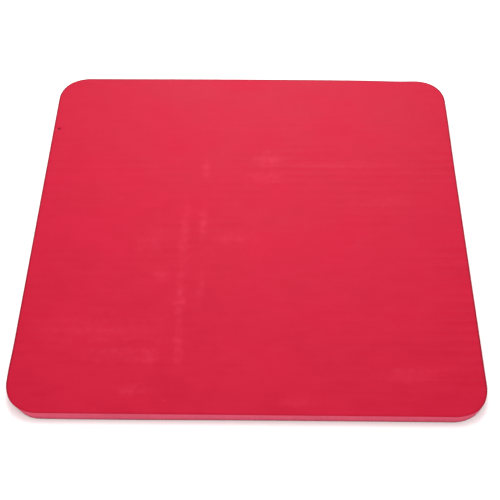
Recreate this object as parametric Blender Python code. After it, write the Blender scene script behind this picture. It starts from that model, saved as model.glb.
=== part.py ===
"""Thin square foam balance pad: a closed-cell core between a ribbed top skin and a base skin.

Metres, +Z up. The origin is the middle of the underside, X runs along the front edge
and +Y points to the back edge.
"""

import math

import bmesh
import bpy

# Driving dimensions
PAD_WIDTH = 0.400
PAD_DEPTH = 0.400
PAD_THICKNESS = 0.010
CORNER_RADIUS = 0.030
SKIN_THICKNESS = 0.0008
LAYER_GAP = 0.0003

# Edge finish: a softened rim on the skins, and the number of facets in each rounded corner
RIM_BEVEL = 0.0002
RIM_SEGMENTS = 2
CORNER_SEGMENTS = 16
SHARP_ANGLE = math.radians(30)

# Heights of the layers, worked out from the thicknesses above
CORE_THICKNESS = PAD_THICKNESS - 2 * (SKIN_THICKNESS + LAYER_GAP)
CORE_BASE = SKIN_THICKNESS + LAYER_GAP
TOP_SKIN_BASE = PAD_THICKNESS - SKIN_THICKNESS

# Colours, linear RGB
SKIN_RED = (0.73, 0.027, 0.062, 1.0)
CUT_FOAM_PINK = (0.64, 0.085, 0.14, 1.0)
BASE_RED = (0.55, 0.030, 0.060, 1.0)


def clear_scene():
    """Removes whatever the scene starts with."""
    for old in list(bpy.data.objects):
        bpy.data.objects.remove(old)


def foam_material(name, colour, roughness):
    """A plain Principled material for one layer of foam."""
    material = bpy.data.materials.new(name)
    material.use_nodes = True
    shader = material.node_tree.nodes["Principled BSDF"]
    shader.inputs["Base Color"].default_value = colour
    shader.inputs["Roughness"].default_value = roughness
    shader.inputs["Metallic"].default_value = 0.0
    return material


def rounded_slab(name, thickness):
    """A flat slab with the pad's outline, its underside at z = 0."""
    shape = bmesh.new()
    bmesh.ops.create_grid(shape, x_segments=1, y_segments=1, size=0.5)
    bmesh.ops.scale(shape, verts=shape.verts, vec=(PAD_WIDTH, PAD_DEPTH, 1.0))
    bmesh.ops.bevel(
        shape,
        geom=list(shape.verts),
        offset=CORNER_RADIUS,
        offset_type="OFFSET",
        segments=CORNER_SEGMENTS,
        profile=0.5,
        affect="VERTICES",
    )
    raised = bmesh.ops.extrude_face_region(shape, geom=list(shape.faces), use_keep_orig=True)
    top_corners = [item for item in raised["geom"] if isinstance(item, bmesh.types.BMVert)]
    bmesh.ops.translate(shape, verts=top_corners, vec=(0.0, 0.0, thickness))
    bmesh.ops.recalc_face_normals(shape, faces=shape.faces)
    mesh = bpy.data.meshes.new(name)
    shape.to_mesh(mesh)
    shape.free()
    mesh.shade_smooth()
    mesh.set_sharp_from_angle(angle=SHARP_ANGLE)
    return mesh


def add_layer(name, base_height, thickness, material, parent):
    """One layer of the pad, standing at base_height above the floor."""
    layer = bpy.data.objects.new(name, rounded_slab(name, thickness))
    layer.data.materials.append(material)
    layer.location = (0.0, 0.0, base_height)
    layer.parent = parent
    bpy.context.scene.collection.objects.link(layer)
    return layer


def soften_rim(layer):
    """Rounds the rim a little, as a skin pressed over soft foam ends in no true edge."""
    bevel = layer.modifiers.new("rim", "BEVEL")
    bevel.width = RIM_BEVEL
    bevel.segments = RIM_SEGMENTS
    bevel.limit_method = "ANGLE"
    bevel.angle_limit = SHARP_ANGLE


def build_pad():
    """The three layers of the pad, on one empty at the middle of the underside."""
    pad = bpy.data.objects.new("balance_pad", None)
    bpy.context.scene.collection.objects.link(pad)

    base_material = foam_material("base_foam", BASE_RED, 0.75)
    core_material = foam_material("cut_foam", CUT_FOAM_PINK, 0.85)
    top_material = foam_material("skin_foam", SKIN_RED, 0.55)

    base_skin = add_layer("base_skin", 0.0, SKIN_THICKNESS, base_material, pad)
    add_layer("foam_core", CORE_BASE, CORE_THICKNESS, core_material, pad)
    top_skin = add_layer("top_skin", TOP_SKIN_BASE, SKIN_THICKNESS, top_material, pad)
    soften_rim(base_skin)
    soften_rim(top_skin)


clear_scene()
build_pad()
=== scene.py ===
"""Looks of the thin square foam pad: its ribbed skins, its cut foam edge, the light and the camera.

Metres, +Z up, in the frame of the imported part: X along the front edge, +Y to the back edge.
"""

import math

import bmesh
import bpy
import numpy as np
from mathutils import Matrix, Vector, noise


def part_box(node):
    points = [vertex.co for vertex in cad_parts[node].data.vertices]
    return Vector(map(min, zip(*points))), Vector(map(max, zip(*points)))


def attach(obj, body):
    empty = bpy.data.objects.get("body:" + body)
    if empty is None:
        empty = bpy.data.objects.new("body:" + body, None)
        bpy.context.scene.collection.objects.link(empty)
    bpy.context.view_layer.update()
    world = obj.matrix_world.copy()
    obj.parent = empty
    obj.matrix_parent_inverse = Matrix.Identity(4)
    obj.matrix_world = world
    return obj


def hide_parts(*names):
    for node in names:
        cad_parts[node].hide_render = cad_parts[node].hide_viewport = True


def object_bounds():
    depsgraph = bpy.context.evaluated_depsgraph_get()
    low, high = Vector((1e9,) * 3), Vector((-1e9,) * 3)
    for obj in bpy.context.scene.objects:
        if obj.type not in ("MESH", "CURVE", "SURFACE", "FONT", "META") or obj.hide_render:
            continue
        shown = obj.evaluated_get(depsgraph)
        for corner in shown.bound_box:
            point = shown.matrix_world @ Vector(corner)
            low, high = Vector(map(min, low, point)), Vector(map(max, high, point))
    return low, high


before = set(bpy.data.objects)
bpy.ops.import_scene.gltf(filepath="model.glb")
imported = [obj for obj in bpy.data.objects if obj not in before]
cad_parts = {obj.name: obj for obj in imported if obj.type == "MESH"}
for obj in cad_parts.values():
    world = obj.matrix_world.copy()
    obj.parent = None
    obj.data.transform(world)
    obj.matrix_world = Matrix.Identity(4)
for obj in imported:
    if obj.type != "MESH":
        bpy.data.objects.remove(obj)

CAD_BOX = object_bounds()
LOW, HIGH = CAD_BOX
HALF_WIDTH = (HIGH.x - LOW.x) / 2
HALF_DEPTH = (HIGH.y - LOW.y) / 2
FLOOR = LOW.z
BASE_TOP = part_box("base_skin")[1].z
SKIN_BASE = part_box("top_skin")[0].z

# The surface: slow waves that soft foam keeps, and shallow scallops from side to side
WAVE_LENGTH = 0.085
WAVE_RISE = 0.00022
RIB_PITCH = 0.0101
RIB_START = 0.0051
RIB_SLANT = math.radians(0.6)
RIB_RISE = 0.00018

# How deep the ribs are as a share of their rise: the average, how much that changes from place
# to place, and over what distances; and which part of the noise each of the two reliefs reads
RIB_STRENGTH = 0.22
RIB_VARIATION = 0.45
RIB_CLUMP = (0.07, 0.03)
RIB_SLICE = 9.0
WAVE_SLICE = 0.3

# Where the ribs are deeper than elsewhere: place, half size and extra strength
RIB_PATCHES = (
    ((-0.130, -0.122), (0.080, 0.028), 0.50),
    ((-0.195, -0.140), (0.030, 0.060), 0.55),
    ((-0.195, 0.060), (0.022, 0.060), 0.40),
    ((-0.040, -0.012), (0.070, 0.025), 0.30),
    ((0.080, 0.066), (0.110, 0.028), 0.60),
    ((0.196, 0.070), (0.030, 0.050), 0.45),
    ((0.196, -0.095), (0.035, 0.090), 1.00),
    ((0.120, -0.165), (0.060, 0.022), 0.45),
)

# The edge: rounded rims, a cut wall pulled in a little, and a fine parting line at each skin
RIM_REACH = 0.0020
RIM_DROP = 0.00050
RIM_STEPS = 8
WALL_HOLLOW = 0.00022
WALL_ROUGHNESS = 0.00005
WALL_GRAIN = 0.0012
BLADE_GRAIN = 0.002
BLADE_SHARE = 0.7
BLADE_STRETCH = 6
PARTING_DEPTH = 0.00008
WALL_ROWS = 14

# Painted shade: how much darker the rolled rim of each skin and the foot of the wall are painted,
# standing in for the shade there, and how much of the rim's painted shade is left along the front
RIM_SHADE_TONE = 0.6
FOOT_SHADE_TONE = 0.75
FRONT_SHADE_SHARE = 0.15

# Mesh spacing
CORNER_STEPS = 40
ROW_SPACING = 0.001
COLUMN_SPACING = 0.002
WALL_SPACING = 0.0007
FINE_OFFSETS = (-0.0012, -0.0008, -0.0004, 0.0, 0.0004, 0.0008, 0.0012)
FINE_GAP = 0.00035

# Where the outline in the photograph is off true, and its front corners undercut, whether that
# is in the pad or in the photograph's cut-out: the place, how far the top and the foot of the
# wall are shifted there, and how far along the outline that reaches
CUT_ERRORS = (
    (Vector((-0.1912, -0.1912)), Vector((-0.0008, -0.0008)), Vector((0.0014, 0.0014)), 0.014),
    (Vector((0.1912, -0.1912)), Vector((0.0009, -0.0009)), Vector((-0.0002, 0.0002)), 0.014),
    (Vector((-0.1912, 0.1912)), Vector((-0.0006, 0.0006)), Vector((0.0007, -0.0007)), 0.014),
    (Vector((0.1912, 0.1912)), Vector((0.0005, 0.0005)), Vector((-0.0008, -0.0008)), 0.014),
    (Vector((-0.2000, -0.1600)), Vector((-0.0005, 0.0)), Vector((-0.0005, 0.0)), 0.014),
    (Vector((0.2000, 0.1500)), Vector((0.0005, 0.0)), Vector((0.0005, 0.0)), 0.050),
    (Vector((-0.1150, -0.2000)), Vector((0.0, 0.0)), Vector((0.0, -0.0006)), 0.080),
    (Vector((-0.0200, 0.2000)), Vector((0.0, 0.0008)), Vector((0.0, 0.0008)), 0.140),
    (Vector((0.1550, 0.2000)), Vector((0.0, -0.0010)), Vector((0.0, -0.0010)), 0.028),
)

# Paler marks worn on the ribs of the top skin: place, half size and strength
SCUFFS = (
    ((-0.060, -0.010), (0.0058, 0.052), 0.50),
    ((-0.060, -0.082), (0.0060, 0.042), 0.62),
    ((-0.059, -0.135), (0.0056, 0.024), 0.60),
    ((-0.043, 0.070), (0.0054, 0.018), 0.65),
    ((-0.043, 0.002), (0.0054, 0.028), 0.62),
    ((-0.042, -0.070), (0.0046, 0.026), 0.35),
    ((0.019, 0.084), (0.020, 0.012), 0.70),
    ((0.016, 0.060), (0.024, 0.009), 0.55),
    ((0.090, 0.078), (0.062, 0.006), 0.35),
    ((0.135, 0.030), (0.038, 0.006), 0.30),
    ((-0.011, -0.014), (0.028, 0.010), 0.50),
    ((-0.088, -0.020), (0.018, 0.018), 0.35),
    ((-0.078, -0.058), (0.012, 0.010), 0.35),
    ((-0.130, -0.119), (0.072, 0.018), 0.32),
    ((-0.112, -0.143), (0.042, 0.010), 0.38),
    ((-0.082, -0.146), (0.008, 0.010), 0.50),
    ((-0.095, -0.177), (0.018, 0.008), 0.55),
    ((0.134, -0.161), (0.034, 0.009), 0.45),
    ((0.042, -0.188), (0.022, 0.006), 0.40),
)

# Small faults in the top skin: place, radius, rise and how bright it looks; the dent's darkening is
# painted shade in its hollow
FAULTS = (
    (Vector((-0.1946, 0.1256)), 0.0013, -0.00065, 0.30),
    (Vector((-0.0680, -0.1883)), 0.0012, 0.00025, 1.10),
)

# The finish: linear RGBA, from the main colour and its deeper tone to its paler ones, the last
# of each skin's being the worn marks
TOP_REDS = ((0.374, 0.0048, 0.0247, 1.0), (0.355, 0.0041, 0.0221, 1.0),
            (0.422, 0.0119, 0.0366, 1.0), (0.442, 0.0196, 0.0476, 1.0))
# The base skin's darker reds are partly its own colour and partly painted shade: its rim makes the
# dark line along the pad's foot
BASE_REDS = ((0.238, 0.0068, 0.0187, 1.0), (0.204, 0.0060, 0.0162, 1.0),
             (0.289, 0.0119, 0.0264, 1.0), (0.289, 0.0119, 0.0264, 1.0))
CUT_PINKS = ((0.493, 0.060, 0.106, 1.0), (0.425, 0.043, 0.081, 1.0), (0.536, 0.085, 0.140, 1.0))
TOP_ROUGHNESS = 0.42
BASE_ROUGHNESS = 0.7
SKIN_SPECULAR = 0.072
CUT_SPECULAR = 0.085

# The studio: a floor that fills every view, just under the pad, and soft boxes, each a name,
# place, size, power and whether it shows in the pad's sheen
FLOOR_RADIUS = 14.0
FLOOR_SIDES = 96
FLOOR_GAP = 0.0002
FLOOR_WHITE = (0.93, 0.93, 0.93, 1.0)
SOFT_BOXES = (
    ("top_light", (-0.015, 0.14, 0.55), 0.4, 2.4, False),
    ("back_light", (0.03, 1.3, 1.0), 0.9, 10.6, True),
    ("front_fill", (0.0, -1.8, 0.6), 0.9, 9.4, True),
)

# The camera: a long lens a little over twice the pad's width away, looking down from the front.
# It was fitted to the outline in the photograph on the assumption that the pad is square
LENS = 73.46
SENSOR = 36.0
VIEW_ELEVATION = math.radians(51.764)
VIEW_TURN = math.radians(-1.184)
VIEW_ROLL = math.radians(-0.490)
VIEW_DISTANCE = 2.3728 * 2 * HALF_WIDTH
VIEW_TARGET = Vector((0.0027, -0.0535, 0.0)) * 2 * HALF_WIDTH


# ---------------------------------------------------------------- shape

def corner_radius():
    """The radius of the outline's corners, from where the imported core's back edge ends."""
    points = [v.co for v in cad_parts["foam_core"].data.vertices]
    straight = max(p.x for p in points if p.y > HIGH.y - 1e-5)
    return HIGH.x - straight


RADIUS = corner_radius()
STRAIGHT_X = HALF_WIDTH - RADIUS
STRAIGHT_Y = HALF_DEPTH - RADIUS


def off_true(x, y, z):
    """How far the cut outline strays from the true one at a point."""
    depth = (HIGH.z - z) / (HIGH.z - FLOOR)
    shift = Vector((0.0, 0.0))
    for place, top, foot, reach in CUT_ERRORS:
        distance = (Vector((x, y)) - place).length
        shift += top.lerp(foot, depth) * math.exp(-((distance / reach) ** 2))
    return shift


def facing(x, y):
    """The direction that the outline nearest to a point on the rim faces."""
    across = math.copysign(max(abs(x) - STRAIGHT_X, 0.0), x)
    along = math.copysign(max(abs(y) - STRAIGHT_Y, 0.0), y)
    return Vector((across, along)).normalized()


def waves(x, y):
    """Height of the slow waves at a point."""
    return WAVE_RISE * noise.noise(Vector((x / WAVE_LENGTH, y / WAVE_LENGTH, WAVE_SLICE)))


def ribs(x, y):
    """Height of the ribs at a point: shallow hollows with a fine ridge between each two."""
    along = (HALF_DEPTH - RIB_START - y + x * math.tan(RIB_SLANT)) / RIB_PITCH
    hollow = (2.0 * (along % 1.0) - 1.0) ** 2
    clump = Vector((x / RIB_CLUMP[0], y / RIB_CLUMP[1], RIB_SLICE))
    strength = RIB_STRENGTH + RIB_VARIATION * noise.noise(clump)
    for place, size, extra in RIB_PATCHES:
        away = ((x - place[0]) / size[0]) ** 2 + ((y - place[1]) / size[1]) ** 2
        strength += extra * math.exp(-away)
    return RIB_RISE * max(strength, 0.0) * hollow


def faults(x, y):
    """Height of the small faults at a point."""
    total = 0.0
    for place, radius, rise, _ in FAULTS:
        total += rise * math.exp(-(((Vector((x, y)) - place).length / radius) ** 2))
    return total


def with_fine(places, fine):
    """Places in order with the finer ones put in, where none of the first is too close."""
    kept = [place for place in places if all(abs(place - extra) > FINE_GAP for extra in fine)]
    return np.array(sorted(kept + list(fine)))


def half_width(y):
    """Half the width of the outer face's grid at a place along the pad."""
    beyond = max(abs(y) - STRAIGHT_Y, 0.0)
    return STRAIGHT_X + math.sqrt((RADIUS - RIM_REACH) ** 2 - beyond ** 2)


def row_places(inset):
    """The rows of a grid over the outline at an inset: each row's y and half its width."""
    fine = [place.y + offset for place, *_ in FAULTS for offset in FINE_OFFSETS]
    fine = [y for y in fine if abs(y) < STRAIGHT_Y - ROW_SPACING]
    arc = RADIUS - inset
    turns = np.linspace(0.0, math.pi / 2, CORNER_STEPS + 1)
    corner = np.stack([STRAIGHT_Y + arc * np.sin(turns), STRAIGHT_X + arc * np.cos(turns)], 1)
    count = round(2 * STRAIGHT_Y / ROW_SPACING)
    middle = with_fine(np.linspace(-STRAIGHT_Y, STRAIGHT_Y, count + 1)[1:-1], fine)
    straight = np.stack([middle, np.full(len(middle), HALF_WIDTH - inset)], 1)
    front = corner[::-1] * [-1.0, 1.0]
    return np.concatenate([front, straight, corner])


def grid(inset):
    """A grid of points over the outline at an inset, as rows from front to back."""
    count = round(2 * STRAIGHT_X / COLUMN_SPACING)
    even = np.linspace(-HALF_WIDTH, HALF_WIDTH, count + 1)
    fine = []
    for place, *_ in FAULTS:
        stretch = HALF_WIDTH / half_width(place.y)
        fine += [(place.x + offset) * stretch for offset in FINE_OFFSETS]
    across = with_fine(even, fine) / HALF_WIDTH
    rows = row_places(inset)
    x = rows[:, 1, None] * across[None]
    y = np.repeat(rows[:, 0, None], len(across), 1)
    return np.stack([x, y], 2)


def rim_of(cells):
    """The boundary of a grid, anticlockwise from its front left corner."""
    return np.concatenate([cells[0, :-1], cells[:-1, -1], cells[-1, :0:-1], cells[:0:-1, 0]])


def rim_profile(thickness):
    """(inset, height) pairs up the side of a skin, from its bonded face to its rolled rim."""
    profile = [(PARTING_DEPTH, 0.0), (0.0, PARTING_DEPTH)]
    for step in range(RIM_STEPS):
        turn = math.pi / 2 * step / RIM_STEPS
        inset = RIM_REACH * (1.0 - math.cos(turn))
        profile.append((inset, thickness - RIM_DROP * (1.0 - math.sin(turn))))
    return profile


def mesh_object(name, points, faces):
    """An object from points and faces, smooth shaded, with the outline's errors put in."""
    placed = []
    for x, y, z in points:
        shift = off_true(x, y, z)
        placed.append((x + shift.x, y + shift.y, z))
    mesh = bpy.data.meshes.new(name)
    mesh.from_pydata(placed, [], faces)
    mesh.shade_smooth()
    made = bpy.data.objects.new(name, mesh)
    bpy.context.scene.collection.objects.link(made)
    return made


def ring_faces(start, count, upward):
    """Quads between one ring of points and the next."""
    faces = []
    for i in range(count):
        j = (i + 1) % count
        quad = (start + i, start + j, start + count + j, start + count + i)
        faces.append(quad if upward else quad[::-1])
    return faces


def skin(name, bonded, outer):
    """A skin whose outer face is ribbed and whose other face is bonded to the core."""
    upward = outer > bonded

    def relief(x, y):
        """How far the outer face is from flat: a base skin touches the floor with its ridges."""
        if upward:
            return waves(x, y) + ribs(x, y) + faults(x, y) - RIB_RISE
        return max(RIB_RISE - ribs(x, y), 0.0)

    sign = 1.0 if upward else -1.0
    thickness = abs(outer - bonded)
    points, faces, wear_and_shade = [], [], []

    profile = rim_profile(thickness)
    for inset, height in profile:
        for x, y in rim_of(grid(inset)):
            points.append((x, y, bonded + sign * height + relief(x, y) * height / thickness))
            # Painted shade on the rim: full along the sides and back, less along the front, which
            # the front light reaches
            strength = 1.0 - (1.0 - FRONT_SHADE_SHARE) * max(-facing(x, y).y, 0.0)
            wear_and_shade.append(strength * (1.0 - (inset / RIM_REACH) ** 2))
    count = len(points) // len(profile)
    for level in range(len(profile) - 1):
        faces += ring_faces(level * count, count, upward)

    cells = grid(RIM_REACH)
    rows, columns = cells.shape[:2]
    first = len(points)
    for x, y in cells.reshape(-1, 2):
        points.append((x, y, outer + relief(x, y)))
        wear_and_shade.append(0.0)
    numbers = np.arange(rows * columns).reshape(rows, columns) + first
    for r in range(rows - 1):
        for c in range(columns - 1):
            quad = (numbers[r, c], numbers[r, c + 1], numbers[r + 1, c + 1], numbers[r + 1, c])
            faces.append(quad if upward else quad[::-1])

    last = (len(profile) - 1) * count
    rim = rim_of(numbers)
    for i in range(count):
        j = (i + 1) % count
        quad = (last + i, last + j, rim[j], rim[i])
        faces.append(quad if upward else quad[::-1])
    closing = list(range(count))
    faces.append(closing[::-1] if upward else closing)
    made = mesh_object(name, points, [tuple(int(i) for i in f) for f in faces])
    # The rim's painted shade, kept on the points for the material
    made.data.attributes.new("rim_shade", "FLOAT", "POINT").data.foreach_set("value", wear_and_shade)
    return made


def outline_points(spacing):
    """Evenly spaced points round the outline, each with its outward direction."""
    arc_steps = round(RADIUS * math.pi / 2 / spacing)
    places = []
    corners = ((STRAIGHT_X, STRAIGHT_Y), (-STRAIGHT_X, STRAIGHT_Y),
               (-STRAIGHT_X, -STRAIGHT_Y), (STRAIGHT_X, -STRAIGHT_Y))
    for number, centre in enumerate(corners):
        begin = number * math.pi / 2
        for step in range(arc_steps + 1):
            turn = begin + math.pi / 2 * step / arc_steps
            out = Vector((math.cos(turn), math.sin(turn)))
            places.append((Vector(centre) + RADIUS * out, out))
        following = Vector(corners[(number + 1) % 4])
        straight = (following - Vector(centre)).length
        side_steps = round(straight / spacing)
        out = places[-1][1]
        start = places[-1][0]
        for step in range(1, side_steps):
            places.append((start.lerp(following + RADIUS * out, step / side_steps), out))
    return places


def core(name, low, high):
    """The foam body: a cut wall, a little hollow and rough, between two flat faces."""
    places = outline_points(WALL_SPACING)
    points, faces = [], []
    for level in range(WALL_ROWS + 1):
        share = level / WALL_ROWS
        z = low + (high - low) * share
        hollow = WALL_HOLLOW * 4 * share * (1 - share)
        if level in (0, WALL_ROWS):
            hollow += PARTING_DEPTH
        for place, out in places:
            at = Vector((place.x, place.y, z))
            drawn = Vector((at.x, at.y, z / BLADE_STRETCH)) / BLADE_GRAIN
            grain = noise.noise(at / WALL_GRAIN) + BLADE_SHARE * noise.noise(drawn)
            inset = hollow + WALL_ROUGHNESS * grain
            points.append((place.x - out.x * inset, place.y - out.y * inset, z))
    count = len(places)
    for level in range(WALL_ROWS):
        faces += ring_faces(level * count, count, True)
    faces.append(tuple(range(count))[::-1])
    faces.append(tuple(range(WALL_ROWS * count, WALL_ROWS * count + count)))
    return mesh_object(name, points, faces)


# ---------------------------------------------------------------- materials

class Shader:
    """A material's node tree, built a node at a time."""

    def __init__(self, name):
        self.material = bpy.data.materials.new(name)
        self.material.use_nodes = True
        self.tree = self.material.node_tree
        self.surface = self.tree.nodes["Principled BSDF"]

    def add(self, kind, inputs=None, **settings):
        """A new node, with its settings, and its inputs as values or sockets to link."""
        made = self.tree.nodes.new(kind)
        for key, value in settings.items():
            setattr(made, key, value)
        for key, value in (inputs or {}).items():
            if isinstance(value, bpy.types.NodeSocket):
                self.tree.links.new(value, made.inputs[key])
            else:
                made.inputs[key].default_value = value
        return made

    def place(self, scale):
        """The point on the object, with each axis divided by a size in metres."""
        where = self.add("ShaderNodeTexCoord").outputs["Object"]
        sizes = tuple(1.0 / size for size in scale)
        return self.add("ShaderNodeMapping", {"Vector": where, "Scale": sizes}).outputs[0]

    def noise(self, scale, detail=3.0, roughness=0.5):
        """Noise from 0 to 1 whose features have a size on each axis."""
        settings = {"Vector": self.place(scale), "Scale": 1.0}
        settings |= {"Detail": detail, "Roughness": roughness}
        return self.add("ShaderNodeTexNoise", settings).outputs["Fac"]

    def cells(self, scale):
        """Distance to the nearest of scattered points."""
        settings = {"Vector": self.place(scale), "Scale": 1.0}
        return self.add("ShaderNodeTexVoronoi", settings).outputs["Distance"]

    def spot(self, place, size, wander=0.0):
        """A patch, 1 in its middle and 0 beyond its half sizes, with an edge that may wander."""
        where = self.add("ShaderNodeTexCoord").outputs["Object"]
        if wander:
            settings = {"Vector": self.place((0.007, 0.007, 0.007)), "Scale": 1.0, "Detail": 3.0}
            astray = self.add("ShaderNodeTexNoise", settings).outputs["Color"]
            settings = {0: astray, 1: (0.5, 0.5, 0.5)}
            astray = self.add("ShaderNodeVectorMath", settings, operation="SUBTRACT").outputs[0]
            settings = {0: astray, "Scale": wander}
            astray = self.add("ShaderNodeVectorMath", settings, operation="SCALE").outputs[0]
            settings = {0: where, 1: astray}
            where = self.add("ShaderNodeVectorMath", settings, operation="ADD").outputs[0]
        scale = (1.0 / size[0], 1.0 / size[1], 0.0)
        start = (-place[0] / size[0], -place[1] / size[1], 0.0)
        moved = self.add("ShaderNodeMapping", {"Vector": where, "Location": start, "Scale": scale})
        away = self.add("ShaderNodeVectorMath", {0: moved.outputs[0]}, operation="LENGTH")
        return self.spread(away.outputs["Value"], 0.2, 1.0, 1.0, 0.0)

    def height(self):
        """Height above the floor, in metres."""
        where = self.add("ShaderNodeTexCoord").outputs["Object"]
        return self.add("ShaderNodeSeparateXYZ", {"Vector": where}).outputs["Z"]

    def crests(self):
        """1 along the crests of the ribs and 0 in the hollows between them."""
        where = self.add("ShaderNodeTexCoord").outputs["Object"]
        parts = self.add("ShaderNodeSeparateXYZ", {"Vector": where}).outputs
        lean = self.maths("MULTIPLY", parts["X"], math.tan(RIB_SLANT))
        along = self.maths("SUBTRACT", self.maths("ADD", lean, HALF_DEPTH - RIB_START), parts["Y"])
        share = self.maths("FRACT", self.maths("DIVIDE", along, RIB_PITCH))
        away = self.maths("ABSOLUTE", self.maths("SUBTRACT", share, 0.5))
        return self.spread(away, 0.12, 0.42)

    def tone(self, colour, brightness):
        """A colour made brighter or darker by a factor."""
        settings = {"Color": colour, "Value": brightness}
        return self.add("ShaderNodeHueSaturation", settings).outputs["Color"]

    def spread(self, value, low, high, to_low=0.0, to_high=1.0):
        """A value's range moved to another, and held within it."""
        inputs = {"Value": value, "From Min": low, "From Max": high}
        inputs |= {"To Min": to_low, "To Max": to_high}
        return self.add("ShaderNodeMapRange", inputs).outputs[0]

    def blend(self, share, first, second, mode="MIX"):
        """Two colours mixed by a share."""
        made = self.add("ShaderNodeMix", data_type="RGBA", blend_type=mode)
        for socket, value in (("Factor_Float", share), ("A_Color", first), ("B_Color", second)):
            target = next(s for s in made.inputs if s.identifier == socket)
            if isinstance(value, bpy.types.NodeSocket):
                self.tree.links.new(value, target)
            else:
                target.default_value = value
        return next(s for s in made.outputs if s.identifier == "Result_Color")

    def maths(self, operation, first, second=0.0):
        """One sum on two values."""
        made = self.add("ShaderNodeMath", operation=operation)
        for number, value in enumerate((first, second)):
            if isinstance(value, bpy.types.NodeSocket):
                self.tree.links.new(value, made.inputs[number])
            else:
                made.inputs[number].default_value = value
        return made.outputs[0]

    def bump(self, height, distance, strength=1.0, after=None):
        """A bump whose height is in metres when strength is 1."""
        inputs = {"Height": height, "Distance": distance, "Strength": strength}
        if after is not None:
            inputs["Normal"] = after
        return self.add("ShaderNodeBump", inputs).outputs[0]

    def finish(self, colour, roughness, normal, specular):
        """Connects the surface and gives back the material."""
        self.tree.links.new(colour, self.surface.inputs["Base Color"])
        self.tree.links.new(roughness, self.surface.inputs["Roughness"])
        self.tree.links.new(normal, self.surface.inputs["Normal"])
        self.surface.inputs["Specular IOR Level"].default_value = specular
        return self.material


def skin_material(name, red, deep, pale, worn, roughness, scuffs=(), faults=()):
    """Closed foam skin: soft mottling, fine lines along the ribs and a fine pebbled grain."""
    shader = Shader(name)
    mottle = shader.spread(shader.noise((0.06, 0.04, 0.06)), 0.35, 0.65)
    blotch = shader.spread(shader.noise((0.016, 0.010, 0.016), 2.0), 0.35, 0.65)
    lines = shader.spread(shader.noise((0.05, 0.0018, 0.05), 2.0), 0.3, 0.7)
    colour = shader.blend(mottle, deep, red)
    colour = shader.blend(shader.maths("MULTIPLY", blotch, 0.16), colour, pale)
    colour = shader.blend(shader.maths("MULTIPLY", lines, 0.12), colour, pale)
    broken = shader.spread(shader.noise((0.005, 0.009, 0.005), 3.0), 0.30, 0.60, 0.25)
    wear_and_shade = shader.maths("MULTIPLY", broken, shader.spread(shader.crests(), 0.0, 1.0, 0.55, 1.0))
    for place, size, strength in scuffs:
        wander = 2.0 * min(size)
        mark = shader.maths("MULTIPLY", shader.spot(place, size, wander), strength)
        colour = shader.blend(shader.maths("MULTIPLY", mark, wear_and_shade), colour, worn)
    # The dent's colour is darkened as painted shade in its hollow; the raised nick is painted a
    # little lighter
    for place, radius, _, brightness in faults:
        hole = shader.spot(place, (radius * 1.4, radius * 1.4))
        colour = shader.tone(colour, shader.spread(hole, 0.0, 0.7, 1.0, brightness))
    # Painted shade: the rolled rim of each skin is darkened, standing in for the shade at the pad's
    # edges
    rim = shader.add("ShaderNodeAttribute", attribute_name="rim_shade").outputs["Fac"]
    colour = shader.tone(colour, shader.spread(rim, 0.0, 0.8, 1.0, RIM_SHADE_TONE))
    rough = shader.spread(mottle, 0.0, 1.0, roughness - 0.05, roughness + 0.05)
    grain = shader.bump(shader.cells((0.0006, 0.0006, 0.0006)), 0.00006)
    normal = shader.bump(lines, 0.000015, after=grain)
    return shader.finish(colour, rough, normal, SKIN_SPECULAR)


def cut_material(name, pink, deep, pale):
    """Cut foam: small open cells, and fine marks down the wall from the blade."""
    shader = Shader(name)
    cell = shader.cells((0.0005, 0.0005, 0.0005))
    marks = shader.noise((0.0011, 0.0011, 0.02), 2.0)
    colour = shader.blend(shader.spread(cell, 0.1, 0.6), deep, pink)
    colour = shader.blend(shader.spread(marks, 0.45, 0.75, 0.0, 0.5), colour, pale)
    # Painted shade: the wall is darkened towards its foot, standing in for the shade near the floor
    foot = shader.spread(shader.height(), 0.0008, 0.0034, FOOT_SHADE_TONE, 1.0)
    colour = shader.tone(colour, foot)
    patchy = shader.spread(shader.noise((0.03, 0.03, 0.01)), 0.3, 0.7, 0.93, 1.04)
    colour = shader.tone(colour, patchy)
    rough = shader.spread(marks, 0.3, 0.7, 0.8, 0.95)
    normal = shader.bump(cell, 0.0001, after=shader.bump(marks, 0.00008))
    return shader.finish(colour, rough, normal, CUT_SPECULAR)


# ---------------------------------------------------------------- stage

def add_floor():
    """A plain pale floor, wide enough to fill every view."""
    shape = bmesh.new()
    bmesh.ops.create_circle(shape, cap_ends=True, segments=FLOOR_SIDES, radius=FLOOR_RADIUS)
    mesh = bpy.data.meshes.new("floor")
    shape.to_mesh(mesh)
    shape.free()
    floor = bpy.data.objects.new("floor", mesh)
    floor.location.z = FLOOR - FLOOR_GAP
    material = bpy.data.materials.new("floor_paint")
    material.use_nodes = True
    surface = material.node_tree.nodes["Principled BSDF"]
    surface.inputs["Base Color"].default_value = FLOOR_WHITE
    surface.inputs["Roughness"].default_value = 0.9
    surface.inputs["Specular IOR Level"].default_value = 0.1
    mesh.materials.append(material)
    bpy.context.scene.collection.objects.link(floor)


def add_soft_box(name, place, size, power, sheen):
    """A square studio light facing the pad, which may be kept out of the pad's sheen."""
    light = bpy.data.lights.new(name, "AREA")
    light.shape = "SQUARE"
    light.size = size
    light.energy = power
    lamp = bpy.data.objects.new(name, light)
    lamp.location = place
    lamp.rotation_euler = (-Vector(place)).to_track_quat("-Z", "Y").to_euler()
    lamp.visible_camera = False
    lamp.visible_glossy = sheen
    bpy.context.scene.collection.objects.link(lamp)


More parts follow.
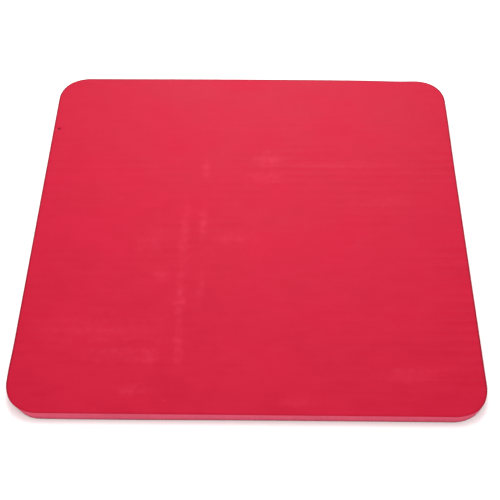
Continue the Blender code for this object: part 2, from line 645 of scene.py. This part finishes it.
def add_light():
    """Even light from all round, with soft boxes above, behind and in front."""
    world = bpy.data.worlds.new("studio")
    world.use_nodes = True
    background = world.node_tree.nodes["Background"]
    background.inputs["Color"].default_value = (1.0, 1.0, 1.0, 1.0)
    background.inputs["Strength"].default_value = 1.0
    bpy.context.scene.world = world
    for box in SOFT_BOXES:
        add_soft_box(*box)
    bpy.context.scene.view_settings.view_transform = "Standard"


def add_camera():
    """The camera, aimed at a point a little in front of the pad's middle."""
    ahead = Vector((
        math.sin(VIEW_TURN) * math.cos(VIEW_ELEVATION),
        math.cos(VIEW_TURN) * math.cos(VIEW_ELEVATION),
        -math.sin(VIEW_ELEVATION),
    ))
    level = Vector((math.cos(VIEW_TURN), -math.sin(VIEW_TURN), 0.0))
    above = level.cross(ahead)
    right = math.cos(VIEW_ROLL) * level + math.sin(VIEW_ROLL) * above
    up = math.cos(VIEW_ROLL) * above - math.sin(VIEW_ROLL) * level
    lens = bpy.data.cameras.new("camera")
    lens.lens = LENS
    lens.sensor_width = SENSOR
    camera = bpy.data.objects.new("camera", lens)
    turned = Matrix((right, up, -ahead)).transposed().to_4x4()
    camera.matrix_world = Matrix.Translation(VIEW_TARGET - ahead * VIEW_DISTANCE) @ turned
    bpy.context.scene.collection.objects.link(camera)
    bpy.context.scene.camera = camera


# ---------------------------------------------------------------- the pad

def add_pad():
    """The three layers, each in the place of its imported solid."""
    layers = (
        (skin("top_skin_sheet", SKIN_BASE, HIGH.z), "top_skin",
         skin_material("ribbed_skin", *TOP_REDS, TOP_ROUGHNESS, SCUFFS, FAULTS)),
        (core("foam_core_block", BASE_TOP, SKIN_BASE), "foam_core",
         cut_material("cut_foam", *CUT_PINKS)),
        (skin("base_skin_sheet", BASE_TOP, FLOOR), "base_skin",
         skin_material("base_skin", *BASE_REDS, BASE_ROUGHNESS)),
    )
    for piece, node, material in layers:
        piece.data.materials.append(material)
        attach(piece, "root")
        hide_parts(node)


add_camera()
add_floor()
add_light()
add_pad()
